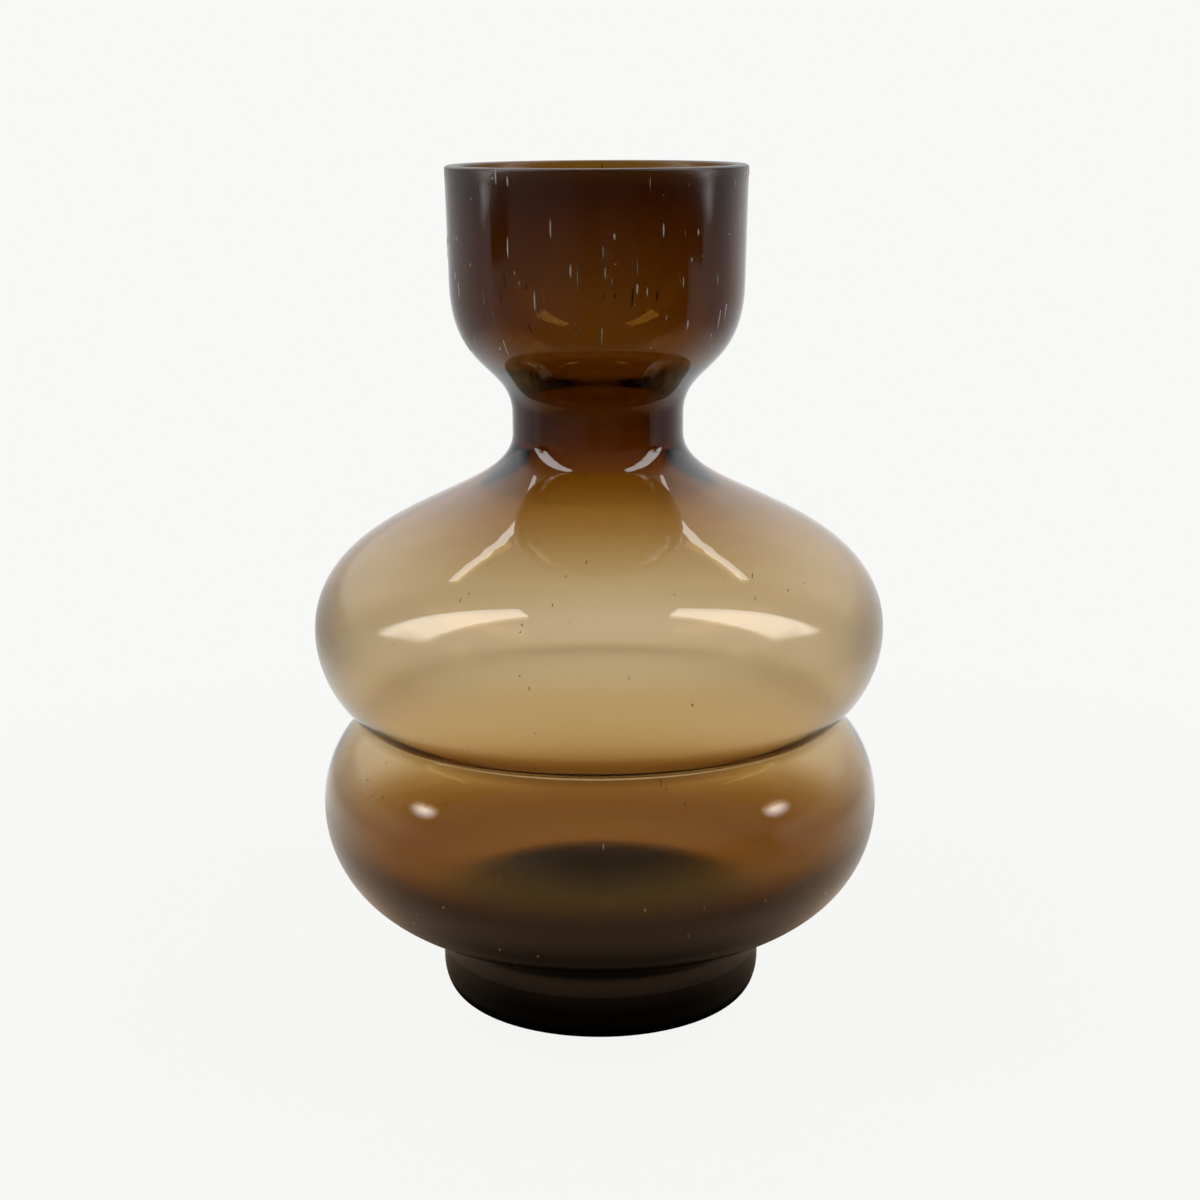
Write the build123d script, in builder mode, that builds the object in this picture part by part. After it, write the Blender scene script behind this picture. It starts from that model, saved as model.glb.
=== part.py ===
from build123d import *
import os

os.makedirs("parts", exist_ok=True)

# A hand-blown gourd vase in smoky brown glass: an upper vessel with a cup mouth, neck and bulb,
# a lower vessel that closes the body, and a solid foot, joined hot along flat faces.
# Sizes in millimetres. The vase stands on z = 0, centred on the Z axis.

# Heights, stacked from the table upwards
foot_height = 17.0
collar_height = 10.9
lower_belly_height = 44.9
lower_shoulder_height = 33.04
upper_belly_height = 31.66
shoulder_height = 69.5
neck_length = 7.0
bowl_height = 45.5
cup_wall_height = 40.5

# Outside radii
foot_radius = 58.5
collar_lip_radius = 61.6
lower_bulb_radius = 100.75
waist_radius = 86.15
upper_bulb_radius = 102.0
neck_radius = 30.25
cup_radius = 51.6
rim_radius = 52.4

# Wall thicknesses of the glass
rim_wall = 4.0
cup_wall = 5.8
neck_wall = 7.4
upper_bulb_wall = 1.5
waist_wall = 1.48
lower_bulb_wall = 1.66
floor_thickness = 5.0

# Roundings, flats and straight lengths
rim_round_height = 0.9
throat_length = 6.4
waist_groove_radius = 0.32
collar_flare_height = 4.6
foot_edge_height = 11.0
foot_edge_width = 5.5
floor_flat_radius = 8.5

# Turns in degrees: how far the waist groove wraps up and down, and the round of the lower belly
groove_turn_up = 56.2
groove_turn_down = 30.0
lower_belly_turn = 68.0

# Reach of each curve along its end tangents: a longer reach gives a fuller curve
bowl_reach = 31.0
throat_reach = 18.0
inner_throat_reach = 13.5
neck_bend_reach = 24.0
shoulder_reach = 44.0
upper_belly_reach = 13.97
upper_waist_reach = 9.42
inner_upper_waist_reach = 10.37
lower_shoulder_reach = 20.69
lower_waist_reach = 5.44
inner_lower_waist_reach = 4.75
lower_belly_drop = 42.8
inner_side_reach = 33.0
inner_floor_reach = 14.0

# Levels that follow from the heights
floor_level = foot_height + floor_thickness
collar_level = foot_height + collar_height
lower_equator = collar_level + lower_belly_height
waist_level = lower_equator + lower_shoulder_height
upper_equator = waist_level + upper_belly_height
neck_bottom = upper_equator + shoulder_height
neck_top = neck_bottom + neck_length
throat_level = neck_top + throat_length
bowl_top = neck_top + bowl_height
rim_top = bowl_top + cup_wall_height

# Inside radii that follow from the walls, and the centre that the waist groove wraps round
cup_bore = cup_radius - cup_wall
neck_bore = neck_radius - neck_wall
upper_bulb_bore = upper_bulb_radius - upper_bulb_wall
lower_bulb_bore = lower_bulb_radius - lower_bulb_wall
groove_centre = (waist_radius + waist_groove_radius, waist_level)
waist_fold_radius = waist_groove_radius + waist_wall

# Upper vessel: cup mouth, neck, shoulder and upper bulb, open at the waist
with BuildPart() as upper_vessel:
    with BuildSketch(Plane.XZ):
        with BuildLine():
            rim_centre = (rim_radius - rim_wall / 2, rim_top - rim_round_height)
            rim = EllipticalCenterArc(rim_centre, rim_wall / 2, rim_round_height, arc_size=180)

            cup_outside = Line(rim @ 0, (cup_radius, bowl_top))
            Bezier(
                cup_outside @ 1,
                cup_outside @ 1 + (cup_outside % 1) * bowl_reach,
                (neck_radius, neck_top + throat_reach),
                (neck_radius, neck_top),
            )
            Line((neck_radius, neck_top), (neck_radius, neck_bottom))
            Bezier(
                (neck_radius, neck_bottom),
                (neck_radius, neck_bottom - neck_bend_reach),
                (upper_bulb_radius, upper_equator + shoulder_reach),
                (upper_bulb_radius, upper_equator),
            )
            upper_groove = CenterArc(groove_centre, waist_groove_radius, start_angle=180, arc_size=-groove_turn_up)
            Bezier(
                upper_groove @ 1,
                upper_groove @ 1 + (upper_groove % 1) * upper_waist_reach,
                (upper_bulb_radius, upper_equator - upper_belly_reach),
                (upper_bulb_radius, upper_equator),
            )

            cup_inside = Line(rim @ 1, (cup_bore, bowl_top))
            Bezier(
                cup_inside @ 1,
                cup_inside @ 1 + (cup_inside % 1) * bowl_reach,
                (neck_bore, throat_level + inner_throat_reach),
                (neck_bore, throat_level),
            )
            Line((neck_bore, throat_level), (neck_bore, neck_bottom))
            Bezier(
                (neck_bore, neck_bottom),
                (neck_bore, neck_bottom - neck_bend_reach),
                (upper_bulb_bore, upper_equator + shoulder_reach),
                (upper_bulb_bore, upper_equator),
            )
            upper_fold = CenterArc(groove_centre, waist_fold_radius, start_angle=180, arc_size=-groove_turn_up)
            Bezier(
                upper_fold @ 1,
                upper_fold @ 1 + (upper_fold % 1) * inner_upper_waist_reach,
                (upper_bulb_bore, upper_equator - upper_belly_reach),
                (upper_bulb_bore, upper_equator),
            )
            Line(upper_groove @ 0, upper_fold @ 0)
        make_face()
    revolve(axis=Axis.Z)
upper_vessel.part.label = "upper_vessel"

# Lower vessel: the lower bulb, open at the waist, thick towards its bowl-shaped bottom, on a short collar
with BuildPart() as lower_vessel:
    with BuildSketch(Plane.XZ):
        with BuildLine():
            lower_groove = CenterArc(groove_centre, waist_groove_radius, start_angle=180, arc_size=groove_turn_down)
            Bezier(
                lower_groove @ 1,
                lower_groove @ 1 + (lower_groove % 1) * lower_waist_reach,
                (lower_bulb_radius, lower_equator + lower_shoulder_reach),
                (lower_bulb_radius, lower_equator),
            )
            belly = EllipticalCenterArc(
                (foot_radius, lower_equator),
                lower_bulb_radius - foot_radius,
                lower_belly_drop,
                start_angle=360 - lower_belly_turn,
                arc_size=lower_belly_turn,
            )
            Line(belly @ 0, (collar_lip_radius, collar_level))
            collar = Line((foot_radius, foot_height), (foot_radius, collar_level - collar_flare_height))
            TangentArc(collar @ 1, (collar_lip_radius, collar_level), tangent=(0, 1))

            lower_fold = CenterArc(groove_centre, waist_fold_radius, start_angle=180, arc_size=groove_turn_down)
            Bezier(
                lower_fold @ 1,
                lower_fold @ 1 + (lower_fold % 1) * inner_lower_waist_reach,
                (lower_bulb_bore, lower_equator + lower_shoulder_reach),
                (lower_bulb_bore, lower_equator),
            )
            Bezier(
                (lower_bulb_bore, lower_equator),
                (lower_bulb_bore, lower_equator - inner_side_reach),
                (floor_flat_radius + inner_floor_reach, floor_level),
                (floor_flat_radius, floor_level),
            )
            Polyline((floor_flat_radius, floor_level), (0, floor_level), (0, foot_height), collar @ 0)
            Line(lower_groove @ 0, lower_fold @ 0)
        make_face()
    revolve(axis=Axis.Z)
lower_vessel.part.label = "lower_vessel"

# Foot: a solid disc of glass with a rounded lower edge and a flat ground base
with BuildPart() as foot:
    with BuildSketch(Plane.XZ):
        with BuildLine():
            foot_edge = EllipticalCenterArc(
                (foot_radius - foot_edge_width, foot_edge_height),
                foot_edge_width,
                foot_edge_height,
                start_angle=270,
                arc_size=90,
            )
            Polyline(foot_edge @ 1, (foot_radius, foot_height), (0, foot_height), (0, 0), foot_edge @ 0)
        make_face()
    revolve(axis=Axis.Z)
foot.part.label = "foot"

export_step(upper_vessel.part, "parts/upper_vessel.step")
export_step(lower_vessel.part, "parts/lower_vessel.step")
export_step(foot.part, "parts/foot.step")
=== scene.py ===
import math
import random

import bmesh
import bpy
import numpy as np
from mathutils import Matrix, Vector


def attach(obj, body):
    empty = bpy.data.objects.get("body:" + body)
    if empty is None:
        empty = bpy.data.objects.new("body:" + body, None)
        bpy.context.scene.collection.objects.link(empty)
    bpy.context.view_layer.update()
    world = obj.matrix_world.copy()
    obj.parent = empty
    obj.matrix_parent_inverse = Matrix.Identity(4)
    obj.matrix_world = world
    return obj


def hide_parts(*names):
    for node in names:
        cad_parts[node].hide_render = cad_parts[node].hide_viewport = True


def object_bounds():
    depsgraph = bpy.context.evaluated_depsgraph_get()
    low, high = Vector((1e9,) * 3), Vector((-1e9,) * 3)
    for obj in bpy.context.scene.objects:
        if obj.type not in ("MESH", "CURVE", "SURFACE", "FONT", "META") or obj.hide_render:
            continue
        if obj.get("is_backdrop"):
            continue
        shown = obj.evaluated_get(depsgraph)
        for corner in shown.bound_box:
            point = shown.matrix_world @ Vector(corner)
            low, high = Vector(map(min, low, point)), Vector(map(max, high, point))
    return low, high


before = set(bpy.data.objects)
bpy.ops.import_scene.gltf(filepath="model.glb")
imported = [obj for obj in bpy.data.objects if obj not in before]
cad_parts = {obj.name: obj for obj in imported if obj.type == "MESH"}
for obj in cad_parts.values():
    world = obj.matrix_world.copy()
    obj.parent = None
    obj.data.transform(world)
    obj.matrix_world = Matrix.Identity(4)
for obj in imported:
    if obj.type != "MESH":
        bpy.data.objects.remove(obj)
cad_low, cad_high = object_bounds()
scene = bpy.context.scene
scene.view_settings.view_transform = "Standard"

MM = 0.001
waist = min(v.co.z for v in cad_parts["upper_vessel"].data.vertices) / MM
rim = cad_high[2] / MM

# The camera of the photograph
camera_place = (0.0004, -0.7294, 0.3205)
camera_pitch = math.radians(13.48)
camera_roll = math.radians(-0.307)
camera_lens = 62.25
camera_sensor = 36.0

# The paper that the vase stands on, in metres
paper_white = (0.938, 0.938, 0.921, 1.0)
plain_white = (1.0, 1.0, 1.0, 1.0)
floor_radius = 4.0
floor_sides = 96
floor_gap = 0.1 * MM

# How much of the paper takes a shadow, and the distances from the axis between which that fades out
floor_matte = 0.04
matte_fade = (0.12, 0.5)

# Shade on the paper by distance from the axis: where it starts, where it ends, and the light left in it
front_shade = (0.075, 0.12, 0.1)
back_shade = (0.06, 0.13, 0.15)
shade_turn = (-0.07, -0.03)
under_foot = (0.056, 0.064)

# The distances between which the paper near the vase gives way to the room
far_floor = (0.3, 0.7)

# Brightness of the room level with the vase, by bearing in degrees from its front
room_by_bearing = [
    (-180, 0.94), (-145, 0.6), (-130, 0.52), (-115, 0.5), (-100, 0.4), (-88, 0.42), (-84, 0.3),
    (-76, 0.21), (-60, 0.18), (-40, 0.15), (-25, 0.13), (-14, 0.08), (-8, 0.04), (0, 0.03), (8, 0.08),
    (14, 0.04), (30, 0.04), (32, 0.012), (72, 0.012), (74, 0.28), (82, 0.40), (95, 0.35), (108, 0.38),
    (118, 0.5), (128, 0.65), (140, 0.8), (180, 0.94),
]

# Colour of the light off the table by its distance behind the vase, in metres: warm in front of the glass
table_by_depth = [
    (-0.45, (0.08, 0.05, 0.03)),
    (-0.26, (0.1, 0.06, 0.03)),
    (-0.21, (0.21, 0.14, 0.09)),
    (-0.17, (0.43, 0.28, 0.18)),
    (-0.1, (0.5, 0.3, 0.18)),
    (0.0, (0.8, 0.6, 0.42)),
    (0.1, (0.9, 0.85, 0.78)),
    (0.2, (0.94, 0.94, 0.92)),
]

# Brightness of the room above the vase, and of the wall behind it by the sine of the height looked at
ceiling_glow = 0.12
wall_by_height = [
    (0.1, 0.85), (0.22, 0.9), (0.5, 1.1), (0.64, 0.9), (0.71, 0.75), (0.77, 0.55), (0.85, 0.3), (1.0, 0.1),
]

# The bearings between which that wall comes in, and the sines of height between which the level room ends
wall_turn = (math.radians(100), math.radians(128))
horizon = (0.1, 0.22)

# The lamps on each side: a tall slanting panel, a small soft spot, and a slim bar high up behind the
# shoulder
panel_glow = 5.8
panel_distance = 0.5
panel_low = (-0.09, 0.29)
panel_high = (-0.356, 1.42)
panel_width = 0.19
panel_slant = 0.08
spot_glow = 9.0
spot_place = (-0.14, 0.29)
spot_size = (0.16, 0.14)
spot_fade = 0.08
bar_glow = 4.5
bar_near = (0.5, 0.24, 0.89)
bar_far = (0.22, 0.5, 0.89)
bar_width = 0.07

# How the glass bends light, and the red, green and blue that a metre takes out, deepened for each piece
glass_ior = 1.5
foot_ior = 1.35
smoke = (127, 206, 368)
upper_depth = 1.15
lower_depth = 1.15
foot_depth = 2.0
deepest_colour = 0.95

# How strongly a thin smoky overlay takes out red, green and blue, by height in millimetres, with painted
# shade darkening the crease
no_overlay = (0.0, 0.0, 0.0)
belly_overlay = (0.05, 0.15, 0.45)
# Painted shade in the glass colour, darkening the crease between the two vessels
crease_painted_shade = (0.3, 0.36, 0.5)
tint_and_crease_shade = [
    (0, no_overlay),
    (45, no_overlay),
    (58, belly_overlay),
    (82, belly_overlay),
    (92, no_overlay),
    # Painted shade round the waist, at the crease between the vessels
    (waist - 2.24, no_overlay),
    (waist - 1.44, crease_painted_shade),
    (waist + 0.76, crease_painted_shade),
    (waist + 1.76, no_overlay),
    (150, no_overlay),
    (160, (0.02, 0.04, 0.04)),
    (170, (0.12, 0.16, 0.31)),
    (180, (0.36, 0.53, 0.98)),
    (186, (0.5, 0.8, 1.45)),
    (193, (0.42, 0.62, 1.6)),
    (200, (0.25, 0.4, 1.8)),
    (208, (0.47, 0.56, 1.7)),
    (215, (0.44, 0.48, 1.5)),
    (225, (0.32, 0.3, 1.2)),
    (235, (0.23, 0.23, 0.7)),
    (245, (0.26, 0.33, 0.8)),
    (258, (0.44, 0.52, 1.1)),
    (270, (0.65, 0.87, 1.55)),
    (280, (0.87, 1.16, 2.0)),
    (290, (1.22, 1.72, 3.1)),
    (rim, (1.36, 1.85, 3.6)),
]

# How satin the skin is by height in millimetres, on the two vessels and on the foot with its ground base
vessel_satin = [
    (0, 0.0), (20, 0.0), (30, 0.2), (58, 0.26), (74, 0.26), (88, 0.0), (110, 0.0), (116, 0.15), (124, 0.21),
    (147, 0.21), (160, 0.0), (255, 0.0), (282, 0.12), (294, 0.2), (rim, 0.3),
]
foot_satin = [(0, 0.4), (1.5, 0.05), (17, 0.0)]

# The seeds, air bubbles drawn out in the glass: heights, widths, lengths and depths in millimetres
cup_seeds = {"count": 150, "low": 236, "high": 297, "widest": 0.8, "longest": 8.0, "deep": 0.2}
bulb_seeds = {"count": 70, "low": 110, "high": 176, "widest": 0.7, "longest": 2.2, "deep": 0.2}
belly_seeds = {"count": 110, "low": 36, "high": 104, "widest": 0.75, "longest": 2.2, "deep": 0.2}
seed_width_range = (0.4, 1.0)
seed_length_range = (0.1, 1.0)
short_seed_bias = 1.5
seed_rings = 6
seed_sides = 8
random_start = 11

# The skin of a seed: how clear and how satin it is, and its pale colours over a fine cloud
seed_clear = 0.25
seed_satin = 0.2
seed_cloud_scale = 90.0
seed_colours = [(0.35, (0.75, 0.66, 0.58)), (0.65, (0.96, 0.92, 0.88))]

# The turned skins: steps round and along them, the turn that makes a corner, and the overlap at hot joints
segments = 192
ring_step = 2.0 * MM
corner_turn = math.radians(30)
land_overlap = 0.03 * MM

# Lengths in metres that are too small to count
same_place = 1e-6
no_length = 1e-7


def section(name):
    """Radius and height along a node's own section, in order, and whether it closes on itself."""
    bm = bmesh.new()
    bm.from_mesh(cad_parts[name].data)
    bmesh.ops.remove_doubles(bm, verts=bm.verts, dist=same_place)
    everything = bm.verts[:] + bm.edges[:] + bm.faces[:]
    cut = bmesh.ops.bisect_plane(bm, geom=everything, plane_co=(0, 0, 0), plane_no=(0, 1, 0), dist=no_length)
    near = {}
    places = {}
    for edge in cut["geom_cut"]:
        if not isinstance(edge, bmesh.types.BMEdge):
            continue
        keys = []
        for v in edge.verts:
            key = (round(v.co.x / MM, 3), round(v.co.z / MM, 3))
            places[key] = (v.co.x, v.co.z)
            keys.append(key)
        if keys[0] != keys[1] and min(keys[0][0], keys[1][0]) >= 0:
            near.setdefault(keys[0], set()).add(keys[1])
            near.setdefault(keys[1], set()).add(keys[0])
    bm.free()
    ends = [k for k in near if len(near[k]) == 1]
    path = [min(ends or near, key=lambda k: (k[1], -k[0]))]
    while True:
        left = [k for k in near[path[-1]] if k not in path]
        if not left:
            break
        path.append(max(left, key=lambda k: k[0]))
    points = np.array([places[k] for k in path])
    if not ends:
        return points, True
    while abs(points[1, 1] - points[0, 1]) < same_place:
        points = points[1:]
    while abs(points[-2, 1] - points[-1, 1]) < same_place:
        points = points[:-1]
    first = (0.0, points[0, 1])
    last = (0.0, points[-1, 1])
    return np.vstack([first, points, last]), False


def smooth_run(points):
    """A run of the section between two corners, with cubic steps between the points it passes through."""
    dense = [points[0]]
    for a, b in zip(points[:-1], points[1:]):
        count = max(1, round(np.linalg.norm(b - a) / (2 * ring_step)))
        dense += [a + (b - a) * (k + 1) / count for k in range(count)]
    p = np.array(dense)
    if len(p) < 3:
        return p
    h = np.linalg.norm(np.diff(p, axis=0), axis=1)[:, None]
    d = np.diff(p, axis=0) / h
    inner = (d[:-1] * h[1:] + d[1:] * h[:-1]) / (h[:-1] + h[1:])
    m = np.vstack([2 * d[:1] - inner[:1], inner, 2 * d[-1:] - inner[-1:]])
    out = [p[0]]
    for i in range(len(h)):
        parts = max(1, math.ceil(h[i, 0] / ring_step))
        for k in range(1, parts + 1):
            t = k / parts
            a = (1 + 2 * t) * (1 - t) ** 2 * p[i] + t * (1 - t) ** 2 * h[i] * m[i]
            b = t * t * (3 - 2 * t) * p[i + 1] + t * t * (t - 1) * h[i] * m[i + 1]
            out.append(a + b)
    return np.array(out)


def smooth_section(points, closed):
    """The section resampled finely, with the places of its corners."""
    if closed:
        points = np.vstack([points, points[:1]])
    turns = np.diff(points, axis=0)
    angle = np.unwrap(np.arctan2(turns[:, 1], turns[:, 0]))
    sharp = [i + 1 for i in range(len(angle) - 1) if abs(angle[i + 1] - angle[i]) > corner_turn]
    stops = [0] + sharp + [len(points) - 1]
    profile = [points[:1]]
    corners = [0]
    for a, b in zip(stops[:-1], stops[1:]):
        run = smooth_run(points[a:b + 1])
        profile.append(run[1:])
        corners.append(corners[-1] + len(run) - 1)
    profile = np.vstack(profile)
    if closed:
        profile = profile[:-1]
        corners = corners[:-1]
    return profile, corners


def new_object(name, verts, faces):
    mesh = bpy.data.meshes.new(name)
    mesh.from_pydata(verts, [], faces)
    mesh.shade_smooth()
    obj = bpy.data.objects.new(name, mesh)
    scene.collection.objects.link(obj)
    return obj


def lathe(name, profile, closed, corners):
    """Turns a section about the vase's axis into a closed skin, with sharp rings at its corners."""
    turn = np.arange(segments) * 2 * math.pi / segments
    verts = []
    rings = []
    for r, z in profile:
        if r < no_length:
            rings.append([len(verts)])
            verts.append((0.0, 0.0, z))
            continue
        rings.append(list(range(len(verts), len(verts) + segments)))
        verts += [(r * math.cos(t), r * math.sin(t), z) for t in turn]
    faces = []
    pairs = list(zip(rings[:-1], rings[1:]))
    if closed:
        pairs.append((rings[-1], rings[0]))
    for low, high in pairs:
        for j in range(segments):
            k = (j + 1) % segments
            if len(low) == 1:
                faces.append((low[0], high[k], high[j]))
            elif len(high) == 1:
                faces.append((low[j], low[k], high[0]))
            else:
                faces.append((low[j], low[k], high[k], high[j]))
    obj = new_object(name, verts, faces)
    bm = bmesh.new()
    bm.from_mesh(obj.data)
    bm.verts.ensure_lookup_table()
    for ring in [rings[c] for c in corners if len(rings[c]) > 1]:
        for j in range(segments):
            edge = bm.edges.get((bm.verts[ring[j]], bm.verts[ring[(j + 1) % segments]]))
            edge.smooth = False
    bm.to_mesh(obj.data)
    bm.free()
    return obj


def outside(profile, z):
    """The outer radius of a section at a height, and how fast it widens upwards there."""
    best = (0.0, 0.0)
    for (r0, z0), (r1, z1) in zip(profile, np.roll(profile, -1, axis=0)):
        if min(z0, z1) <= z <= max(z0, z1) and abs(z1 - z0) > no_length:
            slope = (r1 - r0) / (z1 - z0)
            best = max(best, (r0 + slope * (z - z0), slope))
    return best


def add_seed(verts, faces, middle, along, aside, inward):
    """Adds one closed bubble, given by its middle and its three half axes."""
    first = len(verts)
    verts.append(middle - along)
    for i in range(1, seed_rings):
        tilt = math.pi * i / seed_rings
        for j in range(seed_sides):
            spin = 2 * math.pi * j / seed_sides
            across = aside * math.cos(spin) + inward * math.sin(spin)
            verts.append(middle - along * math.cos(tilt) + across * math.sin(tilt))
    verts.append(middle + along)
    last = len(verts) - 1
    top = last - seed_sides
    for j in range(seed_sides):
        k = (j + 1) % seed_sides
        faces.append((first, first + 1 + k, first + 1 + j))
        faces.append((last, top + j, top + k))
        for i in range(seed_rings - 2):
            ring = first + 1 + i * seed_sides
            faces.append((ring + j, ring + k, ring + seed_sides + k, ring + seed_sides + j))


def seeds(name, profile, rng, batches):
    """Small drawn-out bubbles in the wall, gathered in one mesh."""
    verts = []
    faces = []
    for batch in batches:
        for _ in range(batch["count"]):
            z = rng.uniform(batch["low"], batch["high"]) * MM
            turn = rng.uniform(0, 2 * math.pi)
            wide = rng.uniform(*seed_width_range) * batch["widest"] / 2 * MM
            long = rng.uniform(*seed_length_range) ** short_seed_bias * batch["longest"] / 2 * MM
            r, slope = outside(profile, z)
            out = Vector((math.cos(turn), math.sin(turn), 0))
            along = (out * slope + Vector((0, 0, 1))).normalized()
            aside = Vector((-math.sin(turn), math.cos(turn), 0))
            inward = along.cross(aside)
            middle = out * r + Vector((0, 0, z)) + inward * (batch["deep"] * MM)
            add_seed(verts, faces, middle, along * max(wide, long), aside * wide, inward * wide)
    return new_object(name, verts, faces)


def node(tree, kind, **values):
    made = tree.nodes.new(kind)
    for key, value in values.items():
        setattr(made, key, value)
    return made


def math_node(tree, operation, first, second):
    made = node(tree, "ShaderNodeMath", operation=operation)
    for socket, value in zip(made.inputs, (first, second)):
        if isinstance(value, float):
            socket.default_value = value
        else:
            tree.links.new(value, socket)
    return made.outputs[0]


def span(tree, source, low, high, start, end):
    """A soft step from one value to another."""
    made = node(tree, "ShaderNodeMapRange", interpolation_type="SMOOTHSTEP")
    made.inputs["From Min"].default_value = low
    made.inputs["From Max"].default_value = high
    made.inputs["To Min"].default_value = start
    made.inputs["To Max"].default_value = end
    tree.links.new(source, made.inputs["Value"])
    return made.outputs[0]


def ramp(tree, source, stops):
    """A run of colours along a measured value."""
    low = stops[0][0]
    high = stops[-1][0]
    level = node(tree, "ShaderNodeMapRange")
    level.inputs["From Min"].default_value = low
    level.inputs["From Max"].default_value = high
    tree.links.new(source, level.inputs["Value"])
    made = node(tree, "ShaderNodeValToRGB")
    marks = made.color_ramp.elements
    marks[0].color = (*stops[0][1], 1.0)
    marks[1].color = (*stops[-1][1], 1.0)
    for value, colour in stops[1:-1]:
        marks.new((value - low) / (high - low)).color = (*colour, 1.0)
    tree.links.new(level.outputs[0], made.inputs[0])
    return made.outputs[0]


def blend(tree, share, first, second):
    made = node(tree, "ShaderNodeMix", data_type="FLOAT")
    tree.links.new(share, made.inputs["Factor"])
    tree.links.new(first, made.inputs["A"])
    tree.links.new(second, made.inputs["B"])
    return made.outputs["Result"]


def either(tree, share, first, second):
    """One shader fading to another."""
    made = node(tree, "ShaderNodeMixShader")
    tree.links.new(share, made.inputs[0])
    tree.links.new(first.outputs[0], made.inputs[1])
    tree.links.new(second.outputs[0], made.inputs[2])
    return made


def greys(stops, unit):
    return [(value * unit, (level, level, level)) for value, level in stops]


def split(tree, source):
    axes = node(tree, "ShaderNodeSeparateXYZ")
    tree.links.new(source, axes.inputs[0])
    return axes.outputs


def bearing(tree, axes):
    """How far round the vase a place lies from its front, in radians."""
    ahead = math_node(tree, "MULTIPLY", axes["Y"], -1.0)
    return math_node(tree, "ARCTAN2", axes["X"], ahead)


def room_level(tree, axes):
    """The brightness of the room in the direction of a place."""
    return ramp(tree, bearing(tree, axes), greys(room_by_bearing, math.radians(1)))


def new_material(name):
    """A material with an output alone."""
    mat = bpy.data.materials.new(name)
    mat.use_nodes = True
    mat.node_tree.nodes.clear()
    out = node(mat.node_tree, "ShaderNodeOutputMaterial")
    return mat, mat.node_tree, out


def glass(name, depth, ior, satin, tint_and_shade):
    """Blown glass: a clear skin, a thin smoky overlay that also carries painted shade at the crease, and
    colour from the depth of the wall.
    """
    mat, tree, out = new_material(name)
    skin = node(tree, "ShaderNodeBsdfPrincipled")
    skin.inputs["IOR"].default_value = ior
    skin.inputs["Transmission Weight"].default_value = 1.0
    skin.inputs["Base Color"].default_value = plain_white
    place = node(tree, "ShaderNodeTexCoord")
    height = split(tree, place.outputs["Object"])["Z"]
    tree.links.new(ramp(tree, height, greys(satin, MM)), skin.inputs["Roughness"])
    # The overlay tints the skin by height, and paints shade into the crease
    if tint_and_shade:
        stops = [(z * MM, [math.exp(-a) for a in taken]) for z, taken in tint_and_shade]
        tree.links.new(ramp(tree, height, stops), skin.inputs["Base Color"])
    tree.links.new(skin.outputs[0], out.inputs["Surface"])
    body = node(tree, "ShaderNodeVolumeAbsorption")
    absorbs = [s * depth for s in smoke]
    density = max(absorbs) / deepest_colour
    body.inputs["Density"].default_value = density
    body.inputs["Color"].default_value = (*[1 - a / density for a in absorbs], 1.0)
    tree.links.new(body.outputs[0], out.inputs["Volume"])
    return mat


def bubble(name):
    """The pale skin of a seed, brighter in some than in others."""
    mat = bpy.data.materials.new(name)
    mat.use_nodes = True
    tree = mat.node_tree
    skin = tree.nodes["Principled BSDF"]
    skin.inputs["Transmission Weight"].default_value = seed_clear
    skin.inputs["Roughness"].default_value = seed_satin
    place = node(tree, "ShaderNodeTexCoord")
    cloud = node(tree, "ShaderNodeTexNoise")
    cloud.inputs["Scale"].default_value = seed_cloud_scale
    tree.links.new(place.outputs["Object"], cloud.inputs["Vector"])
    tree.links.new(ramp(tree, cloud.outputs["Fac"], seed_colours), skin.inputs["Base Color"])
    return mat


def paper_floor():
    """White paper to the eye, with a faint shadow, and the lit table to the glass."""
    mat, tree, out = new_material("paper_floor")
    place = node(tree, "ShaderNodeNewGeometry").outputs["Position"]
    axes = split(tree, place)
    reach = node(tree, "ShaderNodeVectorMath", operation="LENGTH")
    tree.links.new(place, reach.inputs[0])
    distance = reach.outputs["Value"]

    table = node(tree, "ShaderNodeMix", data_type="RGBA")
    tree.links.new(span(tree, distance, *far_floor, 0.0, 1.0), table.inputs["Factor"])
    tree.links.new(ramp(tree, axes["Y"], table_by_depth), table.inputs[6])
    tree.links.new(room_level(tree, axes), table.inputs[7])
    in_front = span(tree, distance, *front_shade, 1.0)
    round_back = span(tree, distance, *back_shade, 1.0)
    shade = blend(tree, span(tree, axes["Y"], *shade_turn, 0.0, 1.0), in_front, round_back)
    under = span(tree, distance, *under_foot, 0.0, 1.0)
    lit = node(tree, "ShaderNodeEmission")
    tree.links.new(table.outputs[2], lit.inputs["Color"])
    tree.links.new(math_node(tree, "MULTIPLY", shade, under), lit.inputs["Strength"])

    paper = node(tree, "ShaderNodeEmission")
    paper.inputs["Color"].default_value = paper_white
    matte = node(tree, "ShaderNodeBsdfDiffuse")
    matte.inputs["Color"].default_value = paper_white
    seen = either(tree, span(tree, distance, *matte_fade, floor_matte, 0.0), paper, matte)
    path = node(tree, "ShaderNodeLightPath")
    mix = either(tree, path.outputs["Is Camera Ray"], lit, seen)
    tree.links.new(mix.outputs[0], out.inputs["Surface"])
    return mat


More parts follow.
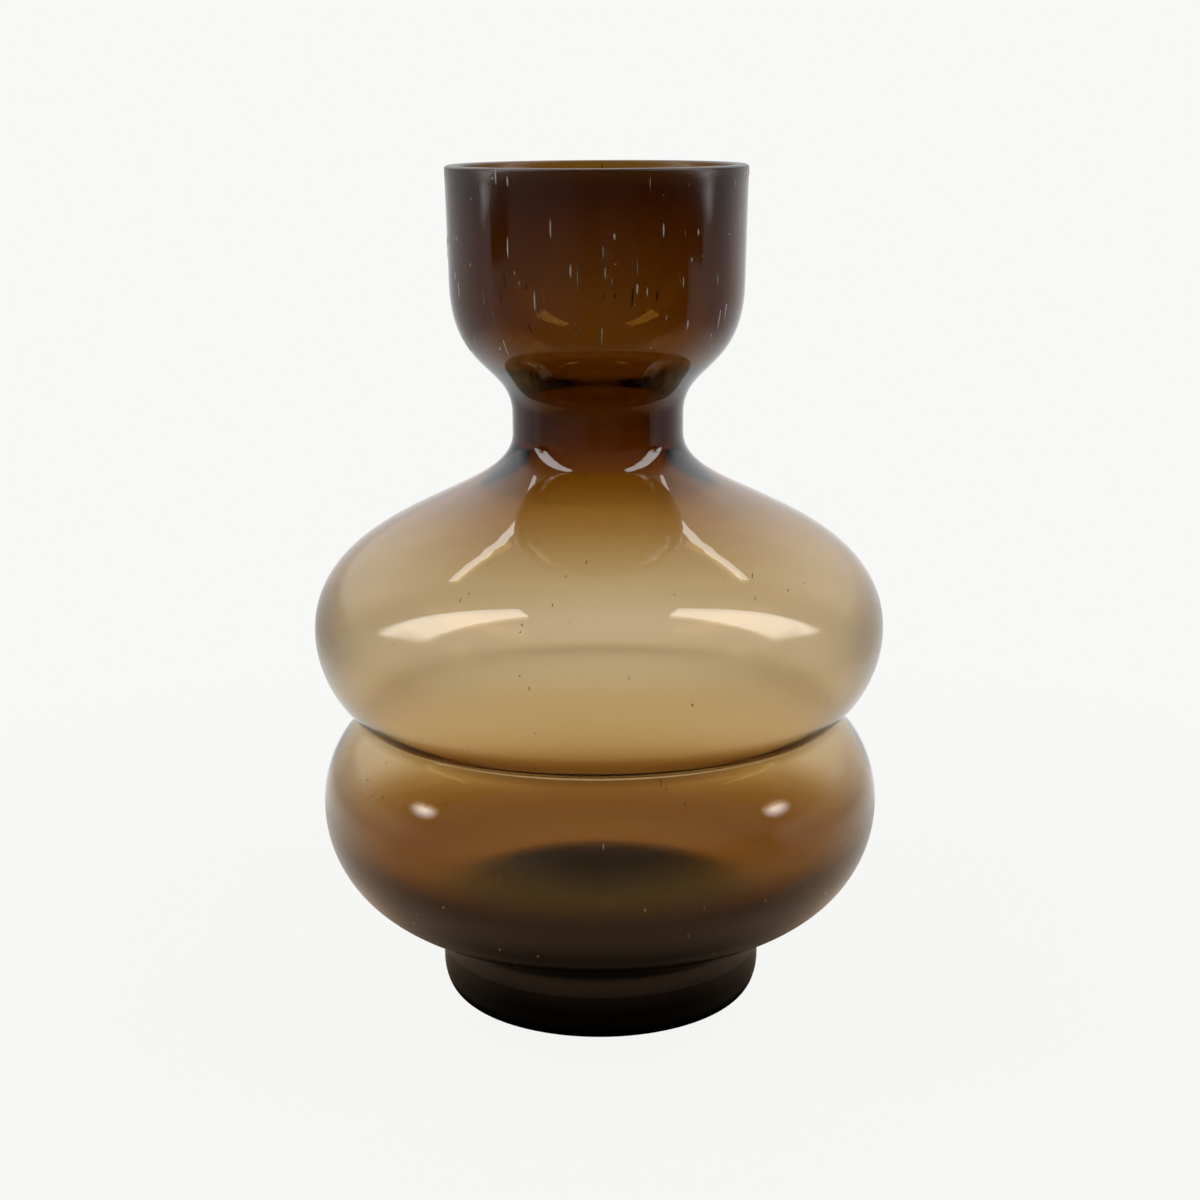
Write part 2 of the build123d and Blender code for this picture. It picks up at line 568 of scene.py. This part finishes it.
def studio():
    """White paper to the eye, and to the glass a room that is level all round with a bright wall behind."""
    world = bpy.data.worlds.new("studio")
    world.use_nodes = True
    tree = world.node_tree
    tree.nodes.clear()
    out = node(tree, "ShaderNodeOutputWorld")
    place = node(tree, "ShaderNodeTexCoord")
    axes = split(tree, place.outputs["Generated"])
    wall = ramp(tree, axes["Z"], greys(wall_by_height, 1.0))
    turned = math_node(tree, "ABSOLUTE", bearing(tree, axes), 0.0)
    behind = span(tree, turned, *wall_turn, 0.0, 1.0)
    above = math_node(tree, "ADD", math_node(tree, "MULTIPLY", wall, behind), ceiling_glow)
    raised = span(tree, axes["Z"], *horizon, 0.0, 1.0)
    room = node(tree, "ShaderNodeBackground")
    room.inputs["Color"].default_value = plain_white
    tree.links.new(blend(tree, raised, room_level(tree, axes), above), room.inputs["Strength"])
    paper = node(tree, "ShaderNodeBackground")
    paper.inputs["Color"].default_value = paper_white
    path = node(tree, "ShaderNodeLightPath")
    mix = either(tree, path.outputs["Is Camera Ray"], room, paper)
    tree.links.new(mix.outputs[0], out.inputs["Surface"])
    return world


def group(name, *objects):
    made = bpy.data.collections.new(name)
    for obj in objects:
        made.objects.link(obj)
    return made


def card(name, corners, glow, lights, fade=0.0):
    """A glowing panel outside the picture, the things that it lights, and how far its glow fades out."""
    mesh = bpy.data.meshes.new(name)
    mesh.from_pydata(corners, [], [(0, 1, 2, 3)])
    mat, tree, out = new_material(name)
    shine = node(tree, "ShaderNodeEmission")
    shine.inputs["Strength"].default_value = glow
    if fade:
        place = node(tree, "ShaderNodeNewGeometry")
        reach = node(tree, "ShaderNodeVectorMath", operation="DISTANCE")
        tree.links.new(place.outputs["Position"], reach.inputs[0])
        reach.inputs[1].default_value = (corners[0] + corners[2]) / 2
        tree.links.new(span(tree, reach.outputs["Value"], 0.0, fade, glow, 0.0), shine.inputs["Strength"])
    tree.links.new(shine.outputs[0], out.inputs["Surface"])
    mesh.materials.append(mat)
    obj = bpy.data.objects.new(name, mesh)
    scene.collection.objects.link(obj)
    obj.visible_camera = False
    obj.light_linking.receiver_collection = lights
    obj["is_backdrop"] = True


# The glass of each node, turned from its own section, and the seeds in its wall
smoky = glass("smoky_blown_glass", upper_depth, glass_ior, vessel_satin, tint_and_crease_shade)
brown = glass("brown_blown_glass", lower_depth, glass_ior, vessel_satin, tint_and_crease_shade)
dark = glass("dark_cast_glass", foot_depth, foot_ior, foot_satin, None)
rng = random.Random(random_start)
skins = {}
bubbles = []
for name, slot, mat, batches in (
    ("upper_vessel", "smoky_glass", smoky, (cup_seeds, bulb_seeds)),
    ("lower_vessel", "brown_glass", brown, (belly_seeds,)),
    ("foot", "dark_glass", dark, ()),
):
    points, closed = section(name)
    profile, corners = smooth_section(points, closed)
    heights = profile[:, 1]
    if name == "upper_vessel":
        heights[heights < heights.min() + same_place] -= land_overlap
    if name == "foot":
        heights[heights > heights.max() - same_place] += land_overlap
    skin = lathe(f"{name}_glass", profile, closed, corners)
    skin.data.materials.append(mat)
    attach(skin, "root")
    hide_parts(name)
    skins[name] = skin
    if batches:
        air = seeds(f"{name}_seeds", profile, rng, batches)
        air.data.materials.append(bubble(f"{name}_seed"))
        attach(air, "root")
        bubbles.append(air)

# The table and the room
bpy.ops.mesh.primitive_circle_add(vertices=floor_sides, radius=floor_radius, fill_type="NGON")
floor = bpy.context.object
floor.name = "floor"
floor.location.z = -floor_gap
floor.data.materials.append(paper_floor())
floor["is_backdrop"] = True
scene.world = studio()

# The lamps on each side: the panels and bars light the upper vessel, and the spots the lower one
high_lit = group("lit_by_panels", skins["upper_vessel"], floor, *bubbles)
low_lit = group("lit_by_spots", skins["lower_vessel"])
for name, side in (("left", -1), ("right", 1)):
    low = Vector((side * panel_distance, *panel_low))
    high = Vector((side * panel_distance, *panel_high))
    half = Vector((0, panel_width / 2, -panel_slant / 2))
    card(f"{name}_panel", [low - half, low + half, high + half, high - half], panel_glow, high_lit)
    near = Vector((side * bar_near[0], bar_near[1], bar_near[2]))
    far = Vector((side * bar_far[0], bar_far[1], bar_far[2]))
    up = Vector((0, 0, bar_width / 2))
    card(f"{name}_bar", [near - up, near + up, far + up, far - up], bar_glow, high_lit)
    mid = Vector((side * panel_distance, *spot_place))
    wide = Vector((0, spot_size[0] / 2, 0))
    tall = Vector((0, 0, spot_size[1] / 2))
    spot = [mid - wide - tall, mid + wide - tall, mid + wide + tall, mid - wide + tall]
    card(f"{name}_spot", spot, spot_glow, low_lit, spot_fade)

camera = bpy.data.objects.new("camera", bpy.data.cameras.new("camera"))
camera.data.lens = camera_lens
camera.data.sensor_width = camera_sensor
aim = Matrix.Rotation(math.pi / 2 - camera_pitch, 4, "X") @ Matrix.Rotation(camera_roll, 4, "Z")
aim.translation = camera_place
camera.matrix_world = aim
scene.collection.objects.link(camera)
scene.camera = camera

low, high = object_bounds()
